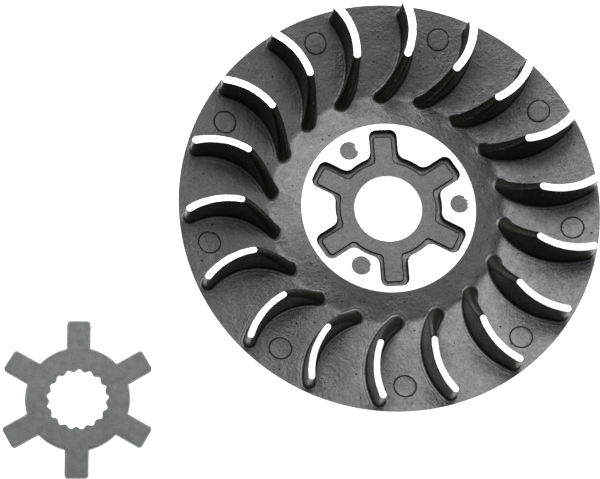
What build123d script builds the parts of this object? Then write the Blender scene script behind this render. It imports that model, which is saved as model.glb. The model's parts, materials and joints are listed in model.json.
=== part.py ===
"""Fan half pulley of a scooter belt drive, with its star-shaped lock washer.

The pulley is one casting: a dished plate whose back is the belt cone, a hub and a ring
of fan blades.  The washer is a separate stamping that lies beside it.  Its six arms fit
the star pocket in the hub and its splined hole fits the crankshaft.

Frame: millimetres, +Z along the pulley axis towards the fan side, origin in the middle of
the bore at the seat face.  The seat face and the washer lie on the plane z = 0.
"""
import os
from math import cos, degrees, hypot, radians, sin, tan

from build123d import *

os.makedirs("parts", exist_ok=True)

# Plate and hub
rim_radius = 55.0
rim_z = 13.0
cone_slope = 14.4
plate_height = 3.1
valley_radius = 31.0
hub_face_radius = 23.0
hub_face_z = 8.6
bore_radius = 8.95
rim_chamfer = 0.8
bore_chamfer = 0.5

# Star pocket in the hub, and the raised star inside it that carries the washer
arm_count = 6
arm_angle = 33.5
pocket_arm_width = 7.5
pocket_tip_radius = 21.35
pocket_ring_radius = 14.1
pocket_tip_fillet = 2.0
pocket_land_fillet = 2.3
pocket_depth = 1.85
pocket_draft = 8.0
pad_arm_width = 4.65
pad_tip_radius = 19.7
pad_ring_radius = 12.6
pad_tip_fillet = 0.8
pad_land_fillet = 1.4
pad_z = 7.15

# As-cast spots left low in the hub face
spot_centers = ((18.7, 1.1), (-10.2, 15.3), (-7.6, -15.9))
spot_radius = 2.5
spot_depth = 0.15

# Fan blades: each one follows one arc in plan
blade_count = 18
blade_top_z = 21.2
blade_top_width = 1.8
blade_draft = 3.0
blade_arc_radius = 18.3
blade_arc_center = (42.45, 20.25)
blade_inner_end_top = -101.5
blade_inner_end_foot = -133.5
blade_outer_end = -57.4
blade_foot_z = 6.7
blade_root_z = 4.7
blade_levels = 5
blade_foot_fillet = 0.7
end_facet_radius = 53.1
end_facet_width = 0.65
end_facet_height = 1.65

# Ejector pin pads, one in every second bay
ejector_count = 9
ejector_angle = -6.9
ejector_ring_radius = 48.2
ejector_radius = 2.8
ejector_height = 0.12

# Star washer
washer_thickness = 1.9
washer_arm_width = 6.0
washer_tip_radius = 20.25
washer_ring_radius = 13.3
washer_tip_fillet = 0.9
washer_root_fillet = 0.4
washer_edge_roll = 0.35
spline_teeth = 17
spline_root_radius = 7.95
spline_tip_radius = 7.25
spline_angle = 16.0
washer_distance = 94.3
washer_direction = -148.1

# The cone drops by this much for each millimetre towards the axis
cone_rate = tan(radians(cone_slope))


def plate_z(radius):
    """Height of the plate's fan side, from the rim in to the valley."""
    return rim_z - (rim_radius - radius) * cone_rate


# Where the fan side turns up to the hub, and where the belt cone ends in the seat
valley_z = plate_z(valley_radius)
flank_rate = (hub_face_z - valley_z) / (valley_radius - hub_face_radius)
seat_radius = rim_radius - (rim_z - plate_height) / cone_rate


def corners_by_radius(sketch):
    """The sketch's corners in groups, from the innermost to the outermost."""
    return sketch.vertices().group_by(lambda corner: round(hypot(corner.X, corner.Y), 2))


def star_sketch(arm_width, tip_radius, ring_radius, tip_fillet, root_fillet):
    """A ring's outline with straight, square-ended arms; the first arm lies along +X."""
    with BuildSketch(Plane.XY) as outline:
        Circle(ring_radius)
        with PolarLocations(0, arm_count):
            Rectangle(tip_radius, arm_width, align=(Align.MIN, Align.CENTER))
        fillet(corners_by_radius(outline)[0], root_fillet)
        fillet(corners_by_radius(outline)[-1], tip_fillet)
    return outline.sketch


def blade_point(radius, angle):
    """A point at this radius and angle about the centre of the blade's arc."""
    x, y = blade_arc_center
    return (x + radius * cos(radians(angle)), y + radius * sin(radians(angle)))


def blade_section(z):
    """The blade's outline at one height: an arc slot with round ends."""
    drop = blade_top_z - z
    part_way = drop / (blade_top_z - blade_foot_z)
    half = blade_top_width / 2 + drop * tan(radians(blade_draft))
    inner = blade_inner_end_top + part_way * (blade_inner_end_foot - blade_inner_end_top)
    middle = (inner + blade_outer_end) / 2
    cap = degrees(half / blade_arc_radius)
    near = blade_arc_radius - half
    far = blade_arc_radius + half
    with BuildSketch(Plane.XY.offset(z)) as section:
        with BuildLine():
            ThreePointArc(blade_point(far, inner), blade_point(far, middle), blade_point(far, blade_outer_end))
            ThreePointArc(
                blade_point(far, blade_outer_end),
                blade_point(blade_arc_radius, blade_outer_end + cap),
                blade_point(near, blade_outer_end),
            )
            ThreePointArc(blade_point(near, blade_outer_end), blade_point(near, middle), blade_point(near, inner))
            ThreePointArc(
                blade_point(near, inner),
                blade_point(blade_arc_radius, inner - cap),
                blade_point(far, inner),
            )
        make_face()
    return section.sketch


def splined_hole_sketch():
    """The washer's hole: rounded teeth joined by rounded roots, all of them arcs."""
    middle_radius = (spline_root_radius + spline_tip_radius) / 2
    quarter = 90 / spline_teeth

    def at(radius, angle):
        return (radius * cos(radians(angle)), radius * sin(radians(angle)))

    with BuildSketch(Plane.XY) as hole:
        with BuildLine():
            for tooth in range(spline_teeth):
                angle = 4 * quarter * tooth
                ThreePointArc(
                    at(middle_radius, angle - quarter),
                    at(spline_tip_radius, angle),
                    at(middle_radius, angle + quarter),
                )
                ThreePointArc(
                    at(middle_radius, angle + quarter),
                    at(spline_root_radius, angle + 2 * quarter),
                    at(middle_radius, angle + 3 * quarter),
                )
        make_face()
    return hole.sketch


# One blade, lofted through level sections, with its foot following the plate
facet_rate = end_facet_height / end_facet_width
level_step = (blade_top_z - blade_root_z) / (blade_levels - 1)
with BuildPart() as blade:
    loft([blade_section(blade_top_z - level * level_step) for level in range(blade_levels)])
    with BuildSketch(Plane.XZ):
        with BuildLine():
            Polyline(
                (0, 0),
                (rim_radius, 0),
                (rim_radius, rim_z - plate_height / 2),
                (valley_radius, valley_z - plate_height / 2),
                (0, valley_z - plate_height / 2),
                close=True,
            )
        make_face()
    revolve(axis=Axis.Z, mode=Mode.SUBTRACT)
    with BuildSketch(Plane.XZ):
        with BuildLine():
            Polyline(
                (end_facet_radius, blade_top_z),
                (rim_radius, blade_top_z - (rim_radius - end_facet_radius) * facet_rate),
                (rim_radius, blade_top_z),
                close=True,
            )
        make_face()
    revolve(axis=Axis.Z, mode=Mode.SUBTRACT)

# One ejector pad, square to the cone
pad_direction = radians(ejector_angle)
pad_normal = (
    -sin(radians(cone_slope)) * cos(pad_direction),
    -sin(radians(cone_slope)) * sin(pad_direction),
    cos(radians(cone_slope)),
)
pad_center = (
    ejector_ring_radius * cos(pad_direction),
    ejector_ring_radius * sin(pad_direction),
    plate_z(ejector_ring_radius),
)
with BuildPart(Plane(origin=pad_center, z_dir=pad_normal)) as ejector_pad:
    Cylinder(ejector_radius, 2 * ejector_height)


def is_blade_foot(edge):
    """True for the edges where a blade meets the plate or the hub's flank."""
    if edge.geom_type != GeomType.BSPLINE:
        return False
    for position in (0.1, 0.5, 0.9):
        point = edge.position_at(position)
        radius = hypot(point.X, point.Y)
        height = plate_z(radius) if radius > valley_radius else valley_z + (valley_radius - radius) * flank_rate
        if abs(point.Z - height) > 0.01:
            return False
    return True


# The casting
pocket_star = star_sketch(
    pocket_arm_width, pocket_tip_radius, pocket_ring_radius, pocket_tip_fillet, pocket_land_fillet
)
pad_star = star_sketch(pad_arm_width, pad_tip_radius, pad_ring_radius, pad_tip_fillet, pad_land_fillet)
with BuildPart() as fan_half_pulley:
    with BuildSketch(Plane.XZ):
        with BuildLine():
            Polyline(
                (0, 0),
                (seat_radius, 0),
                (rim_radius - rim_chamfer, plate_z(rim_radius - rim_chamfer) - plate_height),
                (rim_radius, rim_z - plate_height + rim_chamfer),
                (rim_radius, rim_z),
                (valley_radius, valley_z),
                (hub_face_radius, hub_face_z),
                (0, hub_face_z),
                close=True,
            )
        make_face()
    revolve(axis=Axis.Z)
    with PolarLocations(0, blade_count):
        add(blade.part)
    fillet(fan_half_pulley.edges().filter_by(is_blade_foot), blade_foot_fillet)
    with PolarLocations(0, ejector_count):
        add(ejector_pad.part)
    # Star pocket, the raised star in it, the low spots and the bore
    with BuildSketch(Plane.XY.offset(hub_face_z)):
        add(pocket_star, rotation=arm_angle)
    extrude(amount=-pocket_depth, taper=pocket_draft, mode=Mode.SUBTRACT)
    with BuildSketch(Plane.XY.offset(pad_z)):
        add(pad_star, rotation=arm_angle)
    extrude(amount=hub_face_z - pocket_depth - pad_z)
    with BuildSketch(Plane.XY.offset(hub_face_z)):
        with Locations(*spot_centers):
            Circle(spot_radius)
    extrude(amount=-spot_depth, mode=Mode.SUBTRACT)
    with BuildSketch(Plane.XY):
        Circle(bore_radius)
    extrude(amount=pad_z, mode=Mode.SUBTRACT)
    chamfer(fan_half_pulley.faces().sort_by(Axis.Z)[0].inner_wires().edges(), bore_chamfer)
fan_half_pulley.part.label = "fan_half_pulley"
export_step(fan_half_pulley.part, "parts/fan_half_pulley.step")

# Star washer, flat on the plane that the seat stands on.  A half turn about the level
# line midway between it and the hub lays its arms in the pocket, so its own arms are
# turned to the mirror image of the pocket's arms in that line.
washer_angle = 2 * (washer_direction + 90) - arm_angle
washer_plane = Plane(
    origin=(
        washer_distance * cos(radians(washer_direction)),
        washer_distance * sin(radians(washer_direction)),
        0,
    ),
    x_dir=(cos(radians(washer_angle)), sin(radians(washer_angle)), 0),
    z_dir=(0, 0, 1),
)
washer_star = star_sketch(
    washer_arm_width, washer_tip_radius, washer_ring_radius, washer_tip_fillet, washer_root_fillet
)
with BuildPart() as stamping:
    with BuildSketch():
        add(washer_star)
    extrude(amount=washer_thickness)
    fillet(stamping.faces().sort_by(Axis.Z)[-1].outer_wire().edges(), washer_edge_roll)
    with BuildSketch():
        add(splined_hole_sketch(), rotation=spline_angle)
    extrude(amount=washer_thickness, mode=Mode.SUBTRACT)
with BuildPart() as star_washer:
    with Locations(washer_plane):
        add(stamping.part)
star_washer.part.label = "star_washer"
export_step(star_washer.part, "parts/star_washer.step")
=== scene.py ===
"""Looks of the fan half pulley and its star washer: detailed meshes, materials, light and camera."""
import json
from math import atan2, cos, hypot, pi, radians, sin, sqrt, tan
import random

import bmesh
import bpy
from mathutils import Matrix, Vector, geometry, noise


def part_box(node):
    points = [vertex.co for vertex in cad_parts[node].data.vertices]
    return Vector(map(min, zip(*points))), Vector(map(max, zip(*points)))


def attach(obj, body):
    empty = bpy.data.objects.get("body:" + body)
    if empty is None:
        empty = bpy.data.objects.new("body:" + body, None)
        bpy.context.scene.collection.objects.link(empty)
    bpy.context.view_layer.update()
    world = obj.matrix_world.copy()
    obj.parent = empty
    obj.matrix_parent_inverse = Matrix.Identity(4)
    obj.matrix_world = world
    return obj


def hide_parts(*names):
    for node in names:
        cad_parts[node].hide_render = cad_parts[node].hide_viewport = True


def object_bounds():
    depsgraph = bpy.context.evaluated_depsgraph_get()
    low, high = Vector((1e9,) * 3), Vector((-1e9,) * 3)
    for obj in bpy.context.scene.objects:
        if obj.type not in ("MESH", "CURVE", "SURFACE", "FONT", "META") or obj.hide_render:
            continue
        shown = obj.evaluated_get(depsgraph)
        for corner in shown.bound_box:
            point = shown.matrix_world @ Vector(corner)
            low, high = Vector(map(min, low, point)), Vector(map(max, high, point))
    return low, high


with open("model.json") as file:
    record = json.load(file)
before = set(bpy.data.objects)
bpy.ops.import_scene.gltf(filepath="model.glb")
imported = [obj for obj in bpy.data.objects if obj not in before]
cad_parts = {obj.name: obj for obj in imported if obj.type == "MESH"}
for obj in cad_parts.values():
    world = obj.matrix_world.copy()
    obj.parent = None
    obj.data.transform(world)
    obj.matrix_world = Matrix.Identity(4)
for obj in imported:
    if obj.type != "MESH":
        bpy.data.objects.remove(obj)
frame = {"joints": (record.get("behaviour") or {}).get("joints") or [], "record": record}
cad_low, cad_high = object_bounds()

# Shapes below are worked out in millimetres and turned into metres when a mesh is made.
MM = 0.001
mounts = {mount["name"]: mount for mount in frame["record"]["mounts"]}
pulley_low, pulley_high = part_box("fan_half_pulley")
washer_low, washer_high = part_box("star_washer")

# ---------------------------------------------------------------- sizes

RIM_RADIUS = (pulley_high.x - pulley_low.x) / 2 / MM
TOP_Z = pulley_high.z / MM
RIM_Z = 13.0
CONE_RATE = tan(radians(14.4))
PLATE_HEIGHT = 3.1
RIM_CHAMFER = 0.8
VALLEY_RADIUS = 31.0
HUB_RADIUS = 23.0
HUB_Z = mounts["hub_face"]["pos_m"][2] / MM
BORE_RADIUS = mounts["bore"]["dims"]["r_mm"]
BORE_CHAMFER = 0.5
PAD_Z = 7.15
LEDGE_Z = 6.75
SEAT_RADIUS = RIM_RADIUS - (RIM_Z - PLATE_HEIGHT) / CONE_RATE
CONE_RINGS = 24
# Slight waves of the cast plate: their size in plan, their height, and the strip along each edge
# where they fade out
WAVE_SIZE = 5.0
WAVE_HEIGHT = 0.035
WAVE_FADE = 2.0

# Star outlines: arm width, tip radius, ring radius, tip fillet, root fillet
POCKET_STAR = (7.5, 21.35, 14.1, 2.0, 2.3)
PAD_STAR = (4.65, 19.7, 12.6, 0.8, 1.4)
WASHER_STAR = (6.0, 20.25, 13.3, 0.9, 0.4)
POCKET_DRAFT = tan(radians(8.0))
POCKET_FILLET = 0.7
ARM_ANGLE = radians(33.5)

# Low spots left as cast in the hub face: place and radius
SPOTS = ((18.7, 1.1, 2.42), (-10.2, 15.3, 2.50), (-7.6, -15.9, 2.50))
SPOT_DEPTH = 0.14
# A spot's floor is smaller than its edge by this all round
SPOT_TAPER = 0.1
SPOT_POINTS = 120
# Their edges waver: by how much, how often, and how far apart the spots' noise is taken
WAVER = 0.05
WAVER_RATE = 1.4
WAVER_GAP = 7
# They are chipped on one side: its direction, where the chips begin, their depth and noise
CHIP_TURN = 0.35
CHIP_START = 0.72
CHIP_DEPTH = 1.4
CHIP_BIAS = 0.15
CHIP_RATE = 7
CHIP_GAP = 3

# Blades: one arc in plan, drafted sides, and an inner end that slopes down to the plate
BLADES = 18
ARC_CENTER = (42.45, 20.25)
ARC_RADIUS = 18.3
TOP_HALF = 0.93
# The top widens by this towards the outer end, on the upper TOP_FADE of the blade
TOP_WIDENING = 0.1
TOP_FADE = 4.0
DRAFT_RATE = tan(radians(3.0))
OUTER_END = radians(-57.4)
INNER_TOP = radians(-101.5)
INNER_FOOT = radians(-133.5)
FOOT_DROP = 14.5
# The tops were ground a little unevenly: widest and longest near blade 2.5, least on the far side
UNEVEN_BLADE = 2.5
UNEVEN_HALF = 0.11
UNEVEN_INNER = radians(1.5)
FOOT_FILLET = 0.85
# The foot is no thicker than this to each side, and no longer than this beyond the slope's end
FOOT_HALF = 1.75
FOOT_BEYOND = radians(1.0)
# The turned facet at the outer end: where it begins, how fast it falls, the angle round the end that
# is always on it, and the least angle that it leaves or takes
FACET_RADIUS = 53.42
FACET_RATE = 6.0
FACET_MIDDLE = 1.09
FACET_MARGIN = 0.15
TOP_ROUND = 0.08
# Rows of the low bead round the foot: distance from the fillet and rise
FOOT_BEAD = ((0.07, 0.02), (0.15, 0.02), (0.24, 0.0))

# Ejector pin marks
EJECTORS = 9
EJECTOR_ANGLE = radians(-6.9)
EJECTOR_RING = 48.2

# Washer
WASHER_CENTER = [c / MM for c in mounts["washer_spline"]["pos_m"]]
WASHER_THICK = (washer_high.z - washer_low.z) / MM
WASHER_ROLL = 0.35
ROLL_STEPS = 5
# The lower edge is broken by this much
WASHER_BREAK = 0.06
# The hole's upper edge is broken in two steps: by how much, and the part that the first step drops
HOLE_ROLL = 0.16
HOLE_FIRST_DROP = 0.3
TEETH = 17
TOOTH_STEPS = 14
TOOTH_BULGE = 0.12
ROOT_RADIUS = 7.95
TIP_RADIUS = 7.25
SPLINE_ANGLE = radians(16.0)
hinge = frame["joints"][0]
WASHER_ANGLE = 2 * atan2(hinge["axis"][1], hinge["axis"][0]) - ARM_ANGLE


def plate_z(x, y):
    """Height of the fan side between the hub face and the rim, with the casting's slight waves."""
    radius = hypot(x, y)
    if radius > VALLEY_RADIUS:
        level = RIM_Z - (RIM_RADIUS - radius) * CONE_RATE
    else:
        valley = RIM_Z - (RIM_RADIUS - VALLEY_RADIUS) * CONE_RATE
        level = valley + (VALLEY_RADIUS - radius) / (VALLEY_RADIUS - HUB_RADIUS) * (HUB_Z - valley)
    edge = min(1.0, (RIM_RADIUS - radius) / WAVE_FADE, (radius - HUB_RADIUS) / WAVE_FADE)
    wave = noise.noise(Vector((x, y, 3.1)) / WAVE_SIZE)
    return level + WAVE_HEIGHT * wave * max(0.0, edge)


# ---------------------------------------------------------------- mesh building

CAST, WALL_SHADE, MACHINED, BELT, RECESS_SHADE, POCKET, PAD = range(7)
FLAT, ROLLED_HIGHLIGHT, CUT = range(3)
# Edges that turn by less than this are shaded smooth
SMOOTH_TURN = radians(32)


class Shape:
    """Points and faces of one mesh; each face has the number of its material."""

    def __init__(self):
        self.points = []
        self.faces = []
        self.kinds = []

    def loop(self, points):
        start = len(self.points)
        self.points.extend(points)
        return list(range(start, len(self.points)))

    def face(self, corners, kind):
        self.faces.append(corners)
        self.kinds.append(kind)

    def strip(self, first, second, kind):
        """Quads between two closed loops with as many points."""
        count = len(first)
        for i in range(count):
            j = (i + 1) % count
            self.face((first[i], first[j], second[j], second[i]), kind)

    def make(self, name, materials, blended, turn=0.0, move=(0, 0, 0)):
        """Makes the piece; shading is smooth across edges between the blended materials."""
        mesh = bpy.data.meshes.new(name)
        place = Matrix.Translation(Vector(move) * MM) @ Matrix.Rotation(turn, 4, "Z")
        mesh.from_pydata([place @ (Vector(p) * MM) for p in self.points], [], self.faces)
        mesh.polygons.foreach_set("material_index", self.kinds)
        for material in materials:
            mesh.materials.append(material)
        work = bmesh.new()
        work.from_mesh(mesh)
        bmesh.ops.recalc_face_normals(work, faces=work.faces)
        for face in work.faces:
            face.smooth = True
        for edge in work.edges:
            if len(edge.link_faces) == 2:
                one, two = edge.link_faces
                pair = {one.material_index, two.material_index}
                joined = len(pair) == 1 or pair <= blended
                edge.smooth = joined and edge.calc_face_angle(0.0) < SMOOTH_TURN
        work.to_mesh(mesh)
        work.free()
        piece = bpy.data.objects.new(name, mesh)
        bpy.context.scene.collection.objects.link(piece)
        return piece


def inside(x, y, polygon):
    """True if the point is inside the polygon."""
    within = False
    px, py = polygon[-1][0], polygon[-1][1]
    for point in polygon:
        qx, qy = point[0], point[1]
        if (qy > y) != (py > y) and x < (px - qx) * (y - qy) / (py - qy) + qx:
            within = not within
        px, py = qx, qy
    return within


# How delaunay_2d_cdt fills (1 is inside the outer loop), and how near counts as one point
FILL_INSIDE = 1
SAME_POINT = 1e-6


def fill(shape, outside, holes, loose, kind):
    """Triangulates the region inside one closed loop of point numbers and outside the holes.

    loose are further point numbers. kind gives a triangle's material from its corners.
    """
    loops = [outside] + holes
    numbers = [n for loop in loops for n in loop] + list(loose)
    flat = [Vector(shape.points[n][:2]) for n in numbers]
    edges = []
    start = 0
    for loop in loops:
        count = len(loop)
        edges.extend((start + i, start + (i + 1) % count) for i in range(count))
        start += count
    result = geometry.delaunay_2d_cdt(flat, edges, [], FILL_INSIDE, SAME_POINT)
    _, _, triangles, origins, _, _ = result
    owner = {n: i for i, hole in enumerate(holes) for n in hole}
    outlines = [[shape.points[n] for n in hole] for hole in holes]
    for triangle in triangles:
        corners = [numbers[origins[v][0]] for v in triangle]
        owners = {owner.get(n) for n in corners}
        if len(owners) == 1 and None not in owners:
            x = sum(shape.points[n][0] for n in corners) / 3
            y = sum(shape.points[n][1] for n in corners) / 3
            if inside(x, y, outlines[owners.pop()]):
                continue
        shape.face(corners, kind(corners))


# Arms of a star, and the steps along half an arm's tip, a fillet, an arm's side and half a ring sector
ARMS = 6
HALF_TIP_STEPS = 6
STAR_FILLET_STEPS = 7
ARM_SIDE_STEPS = 12
RING_STEPS = 16
# A corner of a star that is drawn in keeps at least this fillet
SHARPEST_CORNER = 0.05


def star(outline, shrink=0.0):
    """A star's outline, drawn inwards by shrink; every star has the same number of points."""
    width, tip, ring, tip_fillet, root_fillet = outline
    half = width / 2 - shrink
    tip -= shrink
    ring -= shrink
    corner = max(SHARPEST_CORNER, tip_fillet - shrink)
    root = root_fillet + shrink
    root_x = sqrt((ring + root) ** 2 - (half + root) ** 2)
    root_angle = atan2(half + root, root_x)
    points = []
    for i in range(HALF_TIP_STEPS):
        points.append((tip, (half - corner) * i / HALF_TIP_STEPS))
    for i in range(STAR_FILLET_STEPS):
        turn = pi / 2 * i / STAR_FILLET_STEPS
        points.append((tip - corner + corner * cos(turn), half - corner + corner * sin(turn)))
    for i in range(ARM_SIDE_STEPS):
        points.append((tip - corner + (root_x - tip + corner) * i / ARM_SIDE_STEPS, half))
    for i in range(STAR_FILLET_STEPS):
        turn = -pi / 2 + (root_angle - pi / 2) * i / STAR_FILLET_STEPS
        points.append((root_x + root * cos(turn), half + root + root * sin(turn)))
    sector = pi / ARMS
    for i in range(RING_STEPS + 1):
        turn = root_angle + (sector - root_angle) * i / RING_STEPS
        points.append((ring * cos(turn), ring * sin(turn)))
    mirrored = []
    for x, y in reversed(points[1:-1]):
        radius, angle = hypot(x, y), 2 * sector - atan2(y, x)
        mirrored.append((radius * cos(angle), radius * sin(angle)))
    arm = points + mirrored
    whole = []
    for k in range(ARMS):
        c, s = cos(2 * sector * k), sin(2 * sector * k)
        whole.extend((c * x - s * y, s * x + c * y) for x, y in arm)
    return whole


def turned(points, angle, z):
    """Plan points turned about the Z axis and set at one height."""
    c, s = cos(angle), sin(angle)
    return [(c * x - s * y, s * x + c * y, z) for x, y in points]


# ---------------------------------------------------------------- blades

END_STEPS = 10
SIDE_STEPS = 44
WALL_STEPS = 6
WALL_CROWDING = 1.5
FOOT_STEPS = 5
# Steps of the outer end before and after its facet
BEFORE_FACET = 2
AFTER_FACET = 3
# Bends of the rounded edge of the top
TOP_BENDS = (0.0, pi / 6, pi / 3)
# The lowest strips of the foot fillet have the plate's skin; the strips above have the walls' painted
# shade
SKIN_STRIPS = 3
# The fillet and the bead stay this far inside the rim
FILLET_INSIDE = 0.4
BEAD_INSIDE = 0.12
# Halvings in the searches for a foot's height and a facet's edge, and rounds that settle a top's height
FOOT_HALVINGS = 40
FACET_HALVINGS = 30
CREST_ROUNDS = 8
# A height below every blade's foot
FOOT_LOWEST = 3.0
# Nicks of the top's edges: depth, how many there are in a millimetre, and the spacing of their noise
NICKS = ((0.06, 0.6, 9.7), (0.04, 2.9, 5.3))


def blade_xy(number, part, t, z, inset=0.0):
    """A point of the blade's side at height z, and its outward direction in plan."""
    drop = TOP_Z - z
    uneven = cos(2 * pi * (number - UNEVEN_BLADE) / BLADES)
    near_top = max(0.0, 1.0 - drop / TOP_FADE)
    half = TOP_HALF + drop * DRAFT_RATE - inset + uneven * UNEVEN_HALF * near_top
    top = INNER_TOP - uneven * UNEVEN_INNER
    inner = top + (INNER_FOOT - top) * drop / FOOT_DROP
    share = {"far": t, "outer": 1.0, "near": 1.0 - t, "inner": 0.0}[part]
    half += share * TOP_WIDENING * near_top
    angle, across, along = {
        "far": (inner + t * (OUTER_END - inner), 1.0, 0.0),
        "outer": (OUTER_END, cos(t), sin(t)),
        "near": (OUTER_END + t * (inner - OUTER_END), -1.0, 0.0),
        "inner": (inner, -cos(t), -sin(t)),
    }[part]
    c, s = cos(angle), sin(angle)
    way = (across * c - along * s, across * s + along * c)
    x = ARC_CENTER[0] + ARC_RADIUS * c + half * way[0]
    y = ARC_CENTER[1] + ARC_RADIUS * s + half * way[1]
    return x, y, way


def facet_z(x, y):
    """Height of the blade's top, which falls off beyond the facet's radius."""
    return min(TOP_Z, TOP_Z - (hypot(x, y) - FACET_RADIUS) * FACET_RATE)


def facet_edge(number, outside, within):
    """Angle round the outer end where the top meets the end facet."""
    for _ in range(FACET_HALVINGS):
        middle = (outside + within) / 2
        x, y, _ = blade_xy(number, "outer", middle, TOP_Z, TOP_ROUND)
        if hypot(x, y) > FACET_RADIUS:
            within = middle
        else:
            outside = middle
    return within


def blade_perimeter(number):
    """Places round one blade, as the part of its outline and how far along it."""
    start = min(max(FACET_MARGIN, facet_edge(number, 0.0, FACET_MIDDLE)), FACET_MIDDLE - FACET_MARGIN)
    stop = max(facet_edge(number, pi, FACET_MIDDLE), FACET_MIDDLE + FACET_MARGIN)
    around = [("far", i / SIDE_STEPS) for i in range(SIDE_STEPS)]
    around += [("outer", start * i / BEFORE_FACET) for i in range(BEFORE_FACET)]
    around += [("outer", start + (stop - start) * i / END_STEPS) for i in range(END_STEPS)]
    around += [("outer", stop + (pi - stop) * i / AFTER_FACET) for i in range(AFTER_FACET)]
    around += [("near", i / SIDE_STEPS) for i in range(SIDE_STEPS)]
    around += [("inner", pi * i / END_STEPS) for i in range(END_STEPS)]
    return around


def foot_height(number, part, t, turn):
    """Height at which a side meets the plate."""
    low, high = FOOT_LOWEST, TOP_Z
    for _ in range(FOOT_HALVINGS):
        middle = (low + high) / 2
        x, y, _ = blade_xy(number, part, t, middle)
        x, y = turn @ Vector((x, y))
        if middle < plate_z(x, y):
            low = middle
        else:
            high = middle
    return low


def add_blade(shape, number):
    """Adds one blade and returns the loop where its foot fillet ends on the plate."""
    turn = Matrix.Rotation(2 * pi * number / BLADES, 2)
    around = blade_perimeter(number)
    top_rows = [[] for _ in TOP_BENDS]
    wall_rows = [[] for _ in range(WALL_STEPS + 1)]
    fillet_rows = [[] for _ in range(FOOT_STEPS)]
    bead_rows = [[] for _ in FOOT_BEAD]
    for part, t in around:
        foot_z = foot_height(number, part, t, turn)
        crest = TOP_Z
        for _ in range(CREST_ROUNDS):
            x, y, _ = blade_xy(number, part, t, crest, TOP_ROUND)
            crest = facet_z(x, y)
        nick = sum(depth * noise.noise(Vector((x, y, gap * number)) * rate) for depth, rate, gap in NICKS)
        for row, bend in zip(top_rows, TOP_BENDS):
            inset = TOP_ROUND * (1 - sin(bend)) - nick
            x, y, _ = blade_xy(number, part, t, crest, inset)
            x, y = turn @ Vector((x, y))
            row.append((x, y, crest - TOP_ROUND * (1 - cos(bend))))
        crest -= TOP_ROUND
        base = foot_z + FOOT_FILLET
        for i, row in enumerate(wall_rows):
            down = (i / WALL_STEPS) ** WALL_CROWDING
            z = crest + (base - crest) * down
            x, y, way = blade_xy(number, part, t, z)
            shift = nick * (1 - down)
            x, y = turn @ Vector((x + shift * way[0], y + shift * way[1]))
            row.append((x, y, z))
        start = Vector(wall_rows[-1][-1])
        x, y, way = blade_xy(number, part, t, foot_z)
        way = turn @ Vector(way)
        x, y = turn @ Vector((x, y))
        corner = Vector((x, y, foot_z))
        reach = min(FOOT_FILLET, RIM_RADIUS - FILLET_INSIDE - hypot(x, y))
        x, y = x + reach * way.x, y + reach * way.y
        finish = Vector((x, y, plate_z(x, y)))
        for i, row in enumerate(fillet_rows):
            u = (i + 1) / FOOT_STEPS
            point = start * (1 - u) ** 2 + corner * 2 * u * (1 - u) + finish * u**2
            row.append(tuple(point))
        room = min(1.0, (RIM_RADIUS - BEAD_INSIDE - hypot(finish.x, finish.y)) / FOOT_BEAD[-1][0])
        for row, (reach, rise) in zip(bead_rows, FOOT_BEAD):
            x, y = finish.x + room * reach * way.x, finish.y + room * reach * way.y
            row.append((x, y, plate_z(x, y) + rise))
    loops = [shape.loop(row) for row in top_rows + wall_rows + fillet_rows + bead_rows]
    skin = len(loops) - len(bead_rows) - SKIN_STRIPS
    # Wall strips get painted shade, the lowest fillet strips the plate's skin
    for i, (upper, lower) in enumerate(zip(loops, loops[1:])):
        shape.strip(upper, lower, WALL_SHADE if i + 1 < skin else CAST)
    add_blade_top(shape, loops[0])
    return loops[-1]


def add_blade_top(shape, rim):
    """The machined top between the two sides, and the facet at the outer end."""
    facet = SIDE_STEPS + BEFORE_FACET
    facet_end = facet + END_STEPS
    near = facet_end + AFTER_FACET
    inner = near + SIDE_STEPS
    shape.face([rim[i] for i in range(facet, facet_end + 1)], MACHINED)
    shape.face([rim[SIDE_STEPS - 1], *(rim[i] for i in range(SIDE_STEPS, facet + 1)),
                *(rim[i] for i in range(facet_end, near + 2))], MACHINED)
    for i in range(1, SIDE_STEPS - 1):
        far = SIDE_STEPS - i
        shape.face((rim[far], rim[far - 1], rim[near + i + 1], rim[near + i]), MACHINED)
    shape.face([rim[1], rim[0], *(rim[i] for i in range(inner + END_STEPS - 1, inner - 2, -1))], MACHINED)


# ---------------------------------------------------------------- plate

# Radius, height above the plate and point count of the rings of an ejector pin mark
EJECTOR_RINGS = ((0.0, 0.09, 1), (0.9, 0.09, 12), (1.8, 0.09, 24), (2.45, 0.09, 48), (2.64, 0.06, 60),
                 (2.74, -0.18, 60), (2.93, -0.18, 60), (3.05, 0.0, 60), (3.5, 0.0, 40))


def near_blade(x, y, margin):
    """True if the point is within this margin of a blade's foot."""
    step = 2 * pi / BLADES
    for number in range(BLADES):
        angle = -step * number
        bx = x * cos(angle) - y * sin(angle) - ARC_CENTER[0]
        by = x * sin(angle) + y * cos(angle) - ARC_CENTER[1]
        reach = FOOT_HALF + FOOT_FILLET + margin
        if abs(hypot(bx, by) - ARC_RADIUS) < reach:
            spread = reach / ARC_RADIUS
            if INNER_FOOT - FOOT_BEYOND - spread < atan2(by, bx) < OUTER_END + spread:
                return True
    return False


def ejector_centers():
    """The middles of the ejector marks, one in every second bay."""
    for k in range(EJECTORS):
        angle = EJECTOR_ANGLE + 2 * pi * k / EJECTORS
        yield EJECTOR_RING * cos(angle), EJECTOR_RING * sin(angle)


SEED = 11
# Small pits of the skin: how many, their sizes, the deepest, and their distance from other things
PITS = 110
PIT_SIZES = (0.1, 0.13, 0.16, 0.2, 0.26)
PIT_DEEPEST = 0.16
PIT_FROM_EDGE = 1.5
PIT_FROM_MARK = 4.5
PIT_FROM_BLADE = 0.6
PIT_APART = 1.6
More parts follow.
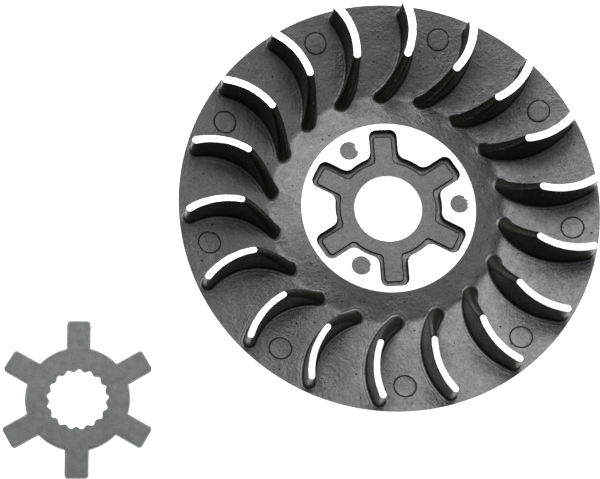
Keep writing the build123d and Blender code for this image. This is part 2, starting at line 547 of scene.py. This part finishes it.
# Rings of a pit, in parts of its size and of its depth, and how uneven they are
PIT_RINGS = ((0.55, 0.7), (1.0, 0.0), (1.6, 0.0))
PIT_POINTS = 9
PIT_UNEVEN = 0.25
# Ejector marks: how proud they stand, in parts of the rise above, and the most that they rise
MARK_PROUD = (0.3, 1.2)
MARK_RISE = 0.11
# A mark's groove: the parts of its depth that are even and uneven, and the depth below which it gets
# painted shade
GROOVE_EVEN = 0.8
GROOVE_UNEVEN = 0.9
GROOVE_SHADE_DEPTH = 0.04
# The unevenness along a groove: broad and fine waves in a millimetre, and how much the fine ones count
GROOVE_BROAD_RATE = 0.55
GROOVE_FINE_RATE = 2.0
GROOVE_FINE_PART = 0.4
# Rings of plain points on the plate, and how far they stay from other things
RING_GAP = 1.0
RING_FROM_EDGE = 0.45
POINT_GAP = 1.05
POINT_FROM_BLADE = 0.3
POINT_FROM_MARK = 4.0
POINT_FROM_PIT = 0.8


def apart(x, y, places, distance):
    """True if the point is further than this from all the places."""
    return all(hypot(x - place[0], y - place[1]) > distance for place in places)


def pit_places(chance, marks):
    """Random places and sizes of the pits."""
    pits = []
    inner = (HUB_RADIUS + PIT_FROM_EDGE) ** 2
    outer = (RIM_RADIUS - PIT_FROM_EDGE) ** 2
    while len(pits) < PITS:
        radius = sqrt(chance.uniform(inner, outer))
        angle = chance.uniform(0, 2 * pi)
        x, y = radius * cos(angle), radius * sin(angle)
        clear = apart(x, y, marks, PIT_FROM_MARK) and not near_blade(x, y, PIT_FROM_BLADE)
        if clear and apart(x, y, pits, PIT_APART):
            pits.append((x, y, chance.choice(PIT_SIZES)))
    return pits


def add_pit(shape, x, y, size):
    """Adds the points of one pit; returns all of them and the low ones, whose faces get painted shade."""
    depth = min(PIT_DEEPEST, size)
    points = shape.loop([(x, y, plate_z(x, y) - depth)])
    low = list(points)
    for grow, drop in PIT_RINGS:
        ring = []
        for i in range(PIT_POINTS):
            angle = 2 * pi * i / PIT_POINTS
            uneven = noise.noise(Vector((x + cos(angle), y + sin(angle), 0)))
            reach = size * grow * (1 + PIT_UNEVEN * uneven)
            px, py = x + reach * cos(angle), y + reach * sin(angle)
            ring.append((px, py, plate_z(px, py) - depth * drop))
        numbers = shape.loop(ring)
        points += numbers
        if drop:
            low += numbers
    return points, low


def add_ejector_mark(shape, x, y, proud):
    """Adds the points of one ejector mark; returns all of them and the low ones in the groove, whose faces
    get painted shade.
    """
    points, low = [], []
    for radius, rise, count in EJECTOR_RINGS:
        ring = []
        for i in range(count):
            angle = 2 * pi * i / count
            px, py = x + radius * cos(angle), y + radius * sin(angle)
            broad = noise.noise(Vector((px, py, 1.7)) * GROOVE_BROAD_RATE)
            fine = noise.noise(Vector((px, py, 6.0)) * GROOVE_FINE_RATE)
            uneven = broad + GROOVE_FINE_PART * fine
            lift = rise * (proud if rise > 0 else GROOVE_EVEN + GROOVE_UNEVEN * uneven)
            ring.append((px, py, plate_z(px, py) + min(lift, MARK_RISE)))
        numbers = shape.loop(ring)
        points += numbers
        if rise < 0:
            low += [n for n, point in zip(numbers, ring) if plate_z(*point[:2]) - point[2] > GROOVE_SHADE_DEPTH]
    return points, low


def plate_points(shape):
    """Loose points of the plate: pits, ejector marks and rings; returns all and the low ones, which get
    painted shade.
    """
    marks = list(ejector_centers())
    chance = random.Random(SEED)
    pits = pit_places(chance, marks)
    added = [add_pit(shape, *pit) for pit in pits]
    added += [add_ejector_mark(shape, x, y, chance.uniform(*MARK_PROUD)) for x, y in marks]
    loose = [n for points, _ in added for n in points]
    low = {n for _, numbers in added for n in numbers}
    rings = [HUB_RADIUS + RING_FROM_EDGE]
    rings += [HUB_RADIUS + RING_GAP * i for i in range(1, round((RIM_RADIUS - HUB_RADIUS) / RING_GAP))]
    rings += [RIM_RADIUS - RING_FROM_EDGE]
    for number, radius in enumerate(rings):
        count = int(2 * pi * radius / POINT_GAP)
        ring = []
        for i in range(count):
            angle = 2 * pi * (i + 0.5 * (number % 2)) / count
            x, y = radius * cos(angle), radius * sin(angle)
            if near_blade(x, y, POINT_FROM_BLADE):
                continue
            if apart(x, y, marks, POINT_FROM_MARK) and apart(x, y, pits, POINT_FROM_PIT):
                ring.append((x, y, plate_z(x, y)))
        loose += shape.loop(ring)
    return loose, low


# ---------------------------------------------------------------- hub and back

def add_spot(shape, number, x, y, radius):
    """Adds one low spot of the hub face and returns the loop of its edge."""
    edge, floor = [], []
    for i in range(SPOT_POINTS):
        turn = 2 * pi * i / SPOT_POINTS
        c, s = cos(turn), sin(turn)
        waver = noise.noise(Vector((c * WAVER_RATE + WAVER_GAP * number, s * WAVER_RATE, 0.4)))
        chips = noise.noise(Vector((c * CHIP_RATE + CHIP_GAP * number, s * CHIP_RATE, 2.4)))
        chipped = max(0.0, c * cos(CHIP_TURN) + s * sin(CHIP_TURN) - CHIP_START) / (1 - CHIP_START)
        ragged = radius + WAVER * waver
        ragged -= CHIP_DEPTH * chipped * max(0.0, chips + CHIP_BIAS)
        low = ragged - SPOT_TAPER
        edge.append((x + ragged * c, y + ragged * s, HUB_Z))
        floor.append((x + low * c, y + low * s, HUB_Z - SPOT_DEPTH))
    edge, floor = shape.loop(edge), shape.loop(floor)
    shape.strip(edge, floor, PAD)
    middle = shape.loop([(x, y, HUB_Z - SPOT_DEPTH)])[0]
    for i in range(SPOT_POINTS):
        shape.face((floor[i], floor[(i + 1) % SPOT_POINTS], middle), PAD)
    return edge


# Steps of the fillet at the foot of the pocket's wall, and its upper strips that are wall, with the walls'
# painted shade
POCKET_STEPS = 6
POCKET_WALL_STRIPS = 2
# The star that sets the circles' angles is drawn in by this
ANGLES_SHRINK = 0.1
# Rows from the ledge over the groove, painted dark as shade, to the pad: distance from its outline,
# height, material
PAD_ROWS = ((0.46, LEDGE_Z + 0.04, POCKET), (0.38, LEDGE_Z, POCKET), (0.28, LEDGE_Z, POCKET),
            (0.25, LEDGE_Z - 0.25, RECESS_SHADE), (0.02, LEDGE_Z - 0.25, RECESS_SHADE), (0.0, LEDGE_Z + 0.1, RECESS_SHADE),
            (0.0, PAD_Z - 0.08, RECESS_SHADE), (-0.06, PAD_Z, PAD))


def build_pulley(materials):
    """The whole casting as one closed mesh."""
    shape = Shape()
    # Every circle has as many points as a star, at the pad star's own angles
    angles = [atan2(y, x) for x, y, _ in turned(star(PAD_STAR, ANGLES_SHRINK), ARM_ANGLE, 0)]

    def circle(radius, z):
        return shape.loop([(radius * cos(a), radius * sin(a), z) for a in angles])

    # Fan side of the plate, with the blades
    rim = circle(RIM_RADIUS, RIM_Z)
    hub = circle(HUB_RADIUS, HUB_Z)
    feet = [add_blade(shape, number) for number in range(BLADES)]
    loose, low = plate_points(shape)

    # Faces in the low points of pits and ejector grooves get painted shade
    def plate_kind(corners):
        return RECESS_SHADE if sum(n in low for n in corners) >= 2 else CAST

    fill(shape, rim, [hub] + feet, loose, plate_kind)

    # Hub face, its low spots and the star pocket
    pocket = shape.loop(turned(star(POCKET_STAR), ARM_ANGLE, HUB_Z))
    spots = [add_spot(shape, number, *spot) for number, spot in enumerate(SPOTS)]
    fill(shape, hub, [pocket] + spots, [], lambda corners: MACHINED)
    last = pocket
    wall_low = LEDGE_Z + POCKET_FILLET
    wall_in = (HUB_Z - wall_low) * POCKET_DRAFT
    for i in range(POCKET_STEPS + 1):
        bend = pi / 2 * i / POCKET_STEPS
        shrink = wall_in + POCKET_FILLET * (1 - cos(bend))
        z = wall_low - POCKET_FILLET * sin(bend)
        row = shape.loop(turned(star(POCKET_STAR, shrink), ARM_ANGLE, z))
        shape.strip(last, row, WALL_SHADE if i < POCKET_WALL_STRIPS else POCKET)
        last = row
    for grow, z, kind in PAD_ROWS:
        row = shape.loop(turned(star(PAD_STAR, -grow), ARM_ANGLE, z))
        shape.strip(last, row, kind)
        last = row
    bore_top = circle(BORE_RADIUS, PAD_Z)
    shape.strip(last, bore_top, PAD)

    # Bore, seat, belt cone and rim
    bore_low = circle(BORE_RADIUS, BORE_CHAMFER)
    seat_in = circle(BORE_RADIUS + BORE_CHAMFER, 0)
    seat_out = circle(SEAT_RADIUS, 0)
    for upper, lower in ((bore_top, bore_low), (bore_low, seat_in), (seat_in, seat_out)):
        shape.strip(upper, lower, MACHINED)
    last = seat_out
    cone_end = RIM_RADIUS - RIM_CHAMFER
    for i in range(1, CONE_RINGS + 1):
        radius = SEAT_RADIUS + (cone_end - SEAT_RADIUS) * i / CONE_RINGS
        ring = circle(radius, (radius - SEAT_RADIUS) * CONE_RATE)
        shape.strip(last, ring, BELT)
        last = ring
    rim_low = circle(RIM_RADIUS, RIM_Z - PLATE_HEIGHT + RIM_CHAMFER)
    shape.strip(last, rim_low, MACHINED)
    shape.strip(rim_low, rim, MACHINED)
    return shape.make("pulley_casting", materials, {CAST, WALL_SHADE, RECESS_SHADE, POCKET, PAD})


# ---------------------------------------------------------------- washer

def spline_outline(grow=0.0):
    """The washer's hole: rounded teeth and roots in one even wave."""
    middle = (ROOT_RADIUS + TIP_RADIUS) / 2
    depth = (ROOT_RADIUS - TIP_RADIUS) / 2
    steps = TEETH * TOOTH_STEPS
    points = []
    for i in range(steps):
        angle = 2 * pi * i / steps
        wave = cos(TEETH * angle)
        bulge = wave * (1 + TOOTH_BULGE - TOOTH_BULGE * wave * wave)
        radius = middle - depth * bulge + grow
        points.append((radius * cos(angle + SPLINE_ANGLE), radius * sin(angle + SPLINE_ANGLE)))
    return points


def build_washer(materials):
    """The washer as one closed mesh, made about its own middle and then put in its place."""
    shape = Shape()

    def level(points, z):
        return shape.loop([(x, y, z) for x, y in points])

    outside = []
    for i in range(ROLL_STEPS + 1):
        turn = pi / 2 * i / ROLL_STEPS
        inset = WASHER_ROLL * (1 - sin(turn))
        outside.append(level(star(WASHER_STAR, inset), WASHER_THICK - WASHER_ROLL * (1 - cos(turn))))
    outside.append(level(star(WASHER_STAR), WASHER_BREAK))
    outside.append(level(star(WASHER_STAR, WASHER_BREAK), 0))
    # The rolled edge's strips get a painted highlight
    for i, (upper, lower) in enumerate(zip(outside, outside[1:])):
        shape.strip(upper, lower, ROLLED_HIGHLIGHT if i < ROLL_STEPS else CUT)
    first = HOLE_ROLL * HOLE_FIRST_DROP
    hole = [level(spline_outline(HOLE_ROLL), WASHER_THICK)]
    hole.append(level(spline_outline(first), WASHER_THICK - first))
    hole.append(level(spline_outline(), WASHER_THICK - HOLE_ROLL))
    hole.append(level(spline_outline(), 0))
    for upper, lower, kind in zip(hole, hole[1:], (ROLLED_HIGHLIGHT, ROLLED_HIGHLIGHT, CUT)):
        shape.strip(upper, lower, kind)
    fill(shape, outside[0], [hole[0]], [], lambda corners: FLAT)
    fill(shape, outside[-1], [hole[-1]], [], lambda corners: FLAT)
    return shape.make("washer_stamping", materials, set(), WASHER_ANGLE, WASHER_CENTER)


# ---------------------------------------------------------------- materials

class Surface:
    """A node material with a Principled shader, and short ways to add to it."""

    def __init__(self, name, metallic, roughness):
        self.material = bpy.data.materials.new(name)
        self.material.use_nodes = True
        self.nodes = self.material.node_tree.nodes
        self.links = self.material.node_tree.links
        self.shader = self.nodes["Principled BSDF"]
        self.shader.inputs["Metallic"].default_value = metallic
        self.shader.inputs["Roughness"].default_value = roughness
        self.place = self.nodes.new("ShaderNodeTexCoord").outputs["Object"]
        self.height = None

    def link(self, source, target):
        self.links.new(source, target)

    def noise(self, size_mm, detail=2.0, rough=0.5, coordinates=None):
        """Noise with features of about this size, in the object's own or these coordinates."""
        node = self.nodes.new("ShaderNodeTexNoise")
        node.inputs["Scale"].default_value = 1 / (size_mm * MM)
        node.inputs["Detail"].default_value = detail
        node.inputs["Roughness"].default_value = rough
        self.link(coordinates or self.place, node.inputs["Vector"])
        return node.outputs["Fac"]

    def rings(self):
        """Coordinates that change only with the distance from the Z axis and the height."""
        split = self.nodes.new("ShaderNodeSeparateXYZ")
        self.link(self.place, split.inputs[0])
        flat = self.nodes.new("ShaderNodeCombineXYZ")
        self.link(split.outputs["X"], flat.inputs["X"])
        self.link(split.outputs["Y"], flat.inputs["Y"])
        length = self.nodes.new("ShaderNodeVectorMath")
        length.operation = "LENGTH"
        self.link(flat.outputs[0], length.inputs[0])
        out = self.nodes.new("ShaderNodeCombineXYZ")
        self.link(length.outputs["Value"], out.inputs["X"])
        self.link(split.outputs["Z"], out.inputs["Y"])
        return out.outputs[0]

    def ramp(self, factor, stops):
        """A ramp through stops, which are pairs of a place and a grey or colour."""
        node = self.nodes.new("ShaderNodeValToRGB")
        ramp = node.color_ramp
        while len(ramp.elements) < len(stops):
            ramp.elements.new(0.5)
        for element, (place, colour) in zip(ramp.elements, stops):
            element.position = place
            element.color = (*colour, 1.0) if isinstance(colour, tuple) else (colour, colour, colour, 1.0)
        self.link(factor, node.inputs["Fac"])
        return node.outputs["Color"]

    def mix(self, factor, one, two, how="MIX"):
        """Two colours mixed or multiplied; a plain tuple is a constant colour."""
        node = self.nodes.new("ShaderNodeMix")
        node.data_type = "RGBA"
        node.blend_type = how
        if isinstance(factor, float):
            node.inputs["Factor"].default_value = factor
        else:
            self.link(factor, node.inputs["Factor"])
        for source, socket in ((one, node.inputs["A"]), (two, node.inputs["B"])):
            if isinstance(source, tuple):
                socket.default_value = (*source, 1.0)
            else:
                self.link(source, socket)
        return node.outputs["Result"]

    def bump(self, height, depth_mm):
        """Adds relief this deep on top of any that the surface has."""
        node = self.nodes.new("ShaderNodeBump")
        node.inputs["Strength"].default_value = 1.0
        node.inputs["Distance"].default_value = depth_mm * MM
        self.link(height, node.inputs["Height"])
        if self.height:
            self.link(self.height, node.inputs["Normal"])
        self.height = node.outputs["Normal"]
        self.link(self.height, self.shader.inputs["Normal"])

    def colour(self, source):
        self.link(source, self.shader.inputs["Base Color"])

    def roughness(self, source):
        self.link(source, self.shader.inputs["Roughness"])


def cast_skin(name, dark, light, metallic, gloss, peel_mm=0.165):
    """Blasted die casting: dark, satin, finely grained, with patchy tone."""
    skin = Surface(name, metallic, roughness=gloss)
    patches = skin.ramp(skin.noise(9.0, detail=3.0), ((0.35, dark), (0.65, light)))
    speckle = skin.ramp(skin.noise(0.45, detail=3.0, rough=0.6), ((0.32, 0.70), (0.50, 1.0), (0.72, 1.20)))
    skin.colour(skin.mix(1.0, patches, speckle, "MULTIPLY"))
    skin.roughness(skin.ramp(skin.noise(1.4, detail=3.0), ((0.3, gloss - 0.06), (0.7, gloss + 0.06))))
    peel = skin.ramp(skin.noise(7.0, detail=2.0), ((0.42, 0.35), (0.62, 1.0)))
    grain = skin.noise(0.9, detail=3.0, rough=0.65)
    skin.bump(skin.mix(1.0, grain, peel, "MULTIPLY"), peel_mm)
    skin.bump(skin.noise(4.5, detail=2.0), depth_mm=0.045)
    return skin.material


def turned_metal(name, colour, roughness, groove_mm, depth_mm):
    """Lathe-turned aluminium with fine concentric lines."""
    metal = Surface(name, metallic=1.0, roughness=roughness)
    rings = metal.rings()
    lines = metal.noise(groove_mm, detail=2.0, rough=0.6, coordinates=rings)
    dull = tuple(0.9 * c for c in colour)
    metal.colour(metal.mix(metal.ramp(lines, ((0.3, 0.0), (0.7, 1.0))), dull, colour))
    blotches = metal.noise(4.0, detail=3.0)
    metal.roughness(metal.ramp(blotches, ((0.3, roughness * 0.85), (0.7, roughness * 1.2))))
    metal.bump(lines, depth_mm)
    metal.bump(metal.noise(0.6, detail=2.0), depth_mm=0.004)
    return metal.material


def washer_steel(name, dark, light, roughness):
    """Matte heat-treated steel: faint mottling, patchy gloss and fine grain."""
    steel = Surface(name, metallic=0.75, roughness=roughness)
    patches = steel.ramp(steel.noise(6.0, detail=4.0, rough=0.6), ((0.3, dark), (0.7, light)))
    speckle = steel.ramp(steel.noise(0.5, detail=3.0, rough=0.6), ((0.3, 0.85), (0.7, 1.1)))
    steel.colour(steel.mix(1.0, patches, speckle, "MULTIPLY"))
    blotches = steel.noise(2.0, detail=4.0)
    steel.roughness(steel.ramp(blotches, ((0.3, roughness * 0.85), (0.7, roughness * 1.2))))
    steel.bump(steel.noise(0.5, detail=3.0), depth_mm=0.02)
    steel.bump(steel.noise(5.0, detail=2.0), depth_mm=0.05)
    return steel.material


def floor_paint():
    """Plain white paint that glows a little, like a lit table."""
    paint = Surface("floor_paint", metallic=0.0, roughness=0.7)
    paint.colour(paint.ramp(paint.noise(60.0, detail=2.0), ((0.3, 0.88), (0.7, 0.90))))
    paint.shader.inputs["Emission Color"].default_value = (1.0, 1.0, 1.0, 1.0)
    paint.shader.inputs["Emission Strength"].default_value = 0.9
    return paint.material


# ---------------------------------------------------------------- pieces

pulley_materials = [
    cast_skin("cast_skin", (0.155, 0.158, 0.160), (0.180, 0.184, 0.186), metallic=0.8, gloss=0.385),
    # Steep blade and pocket walls: the same cast skin painted far darker and olive, as painted shade
    cast_skin("cast_wall_painted_shade", (0.058, 0.063, 0.046), (0.073, 0.079, 0.059), 0.8, 0.30, peel_mm=0.12),
    turned_metal("machined_bright", (0.95, 0.95, 0.94), 0.24, groove_mm=0.12, depth_mm=0.004),
    turned_metal("machined_belt_cone", (0.40, 0.41, 0.42), 0.34, groove_mm=0.16, depth_mm=0.012),
    # Pits, ejector grooves and the groove round the pad: cast skin painted near black, as painted shade in
    # the hollows
    cast_skin("cast_recess_painted_shade", (0.020, 0.020, 0.019), (0.032, 0.032, 0.030), metallic=0.5, gloss=0.5),
    cast_skin("cast_pocket", (0.140, 0.144, 0.138), (0.168, 0.172, 0.167), metallic=0.8, gloss=0.42),
    cast_skin("cast_pad", (0.147, 0.150, 0.151), (0.166, 0.170, 0.171), 0.8, 0.42, peel_mm=0.09),
]
pulley = build_pulley(pulley_materials)
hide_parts("fan_half_pulley")
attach(pulley, "pulley")

washer_materials = [
    washer_steel("washer_flat", (0.165, 0.175, 0.172), (0.185, 0.196, 0.194), 0.45),
    # Rolled edges: the same steel painted about twice as light, as a painted highlight along the edges
    washer_steel("washer_rolled_edge_painted_highlight", (0.32, 0.33, 0.33), (0.40, 0.41, 0.41), 0.38),
    washer_steel("washer_cut_side", (0.10, 0.105, 0.105), (0.15, 0.155, 0.155), 0.55),
]
washer = build_washer(washer_materials)
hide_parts("star_washer")
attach(washer, "washer")

# ---------------------------------------------------------------- floor, light and camera

floor_mesh = bpy.data.meshes.new("floor")
SPREAD = 2.0
FLOOR_GAP = 0.0002
corners = [(-SPREAD, -SPREAD, 0), (SPREAD, -SPREAD, 0), (SPREAD, SPREAD, 0), (-SPREAD, SPREAD, 0)]
floor_mesh.from_pydata(corners, [], [(0, 1, 2, 3)])
floor_mesh.materials.append(floor_paint())
floor = bpy.data.objects.new("floor", floor_mesh)
floor.location.z = cad_low.z - FLOOR_GAP
bpy.context.scene.collection.objects.link(floor)


def area_light(name, size, place, power):
    """A square lamp at this place, turned towards the origin."""
    data = bpy.data.lights.new(name, "AREA")
    data.shape = "SQUARE"
    data.size = size
    data.energy = power
    light = bpy.data.objects.new(name, data)
    light.location = place
    light.rotation_euler = (-Vector(place)).to_track_quat("-Z", "Y").to_euler()
    bpy.context.scene.collection.objects.link(light)


area_light("softbox_over", 0.8, (-0.05, 0.38, 1.15), 2.1)
area_light("softbox_left", 1.2, (-0.33, 0.73, 0.85), 9.1)
area_light("softbox_right", 0.9, (0.62, 0.12, 0.95), 1.4)

world = bpy.data.worlds.new("studio")
world.use_nodes = True
world.node_tree.nodes["Background"].inputs["Color"].default_value = (0.95, 0.97, 1.0, 1.0)
world.node_tree.nodes["Background"].inputs["Strength"].default_value = 0.12
bpy.context.scene.world = world
bpy.context.scene.view_settings.view_transform = "Standard"

# The camera looks down on the fan side from a little in front and to the left.
camera_data = bpy.data.cameras.new("camera")
camera_data.sensor_width = 36.0
camera_data.lens = 109.3
camera = bpy.data.objects.new("camera", camera_data)
AIM = Vector((-23.82, -10.36, RIM_Z)) * MM
DISTANCE = 467.5 * MM
TOWARDS_CAMERA = radians(-106.6)
ELEVATION = radians(73.5)
ROLL = radians(16.62)
back = Vector((
    cos(TOWARDS_CAMERA) * cos(ELEVATION),
    sin(TOWARDS_CAMERA) * cos(ELEVATION),
    sin(ELEVATION),
))
camera.location = AIM + back * DISTANCE
camera.rotation_mode = "QUATERNION"
camera.rotation_quaternion = back.to_track_quat("Z", "Y") @ Matrix.Rotation(ROLL, 3, "Z").to_quaternion()
bpy.context.scene.collection.objects.link(camera)
bpy.context.scene.camera = camera
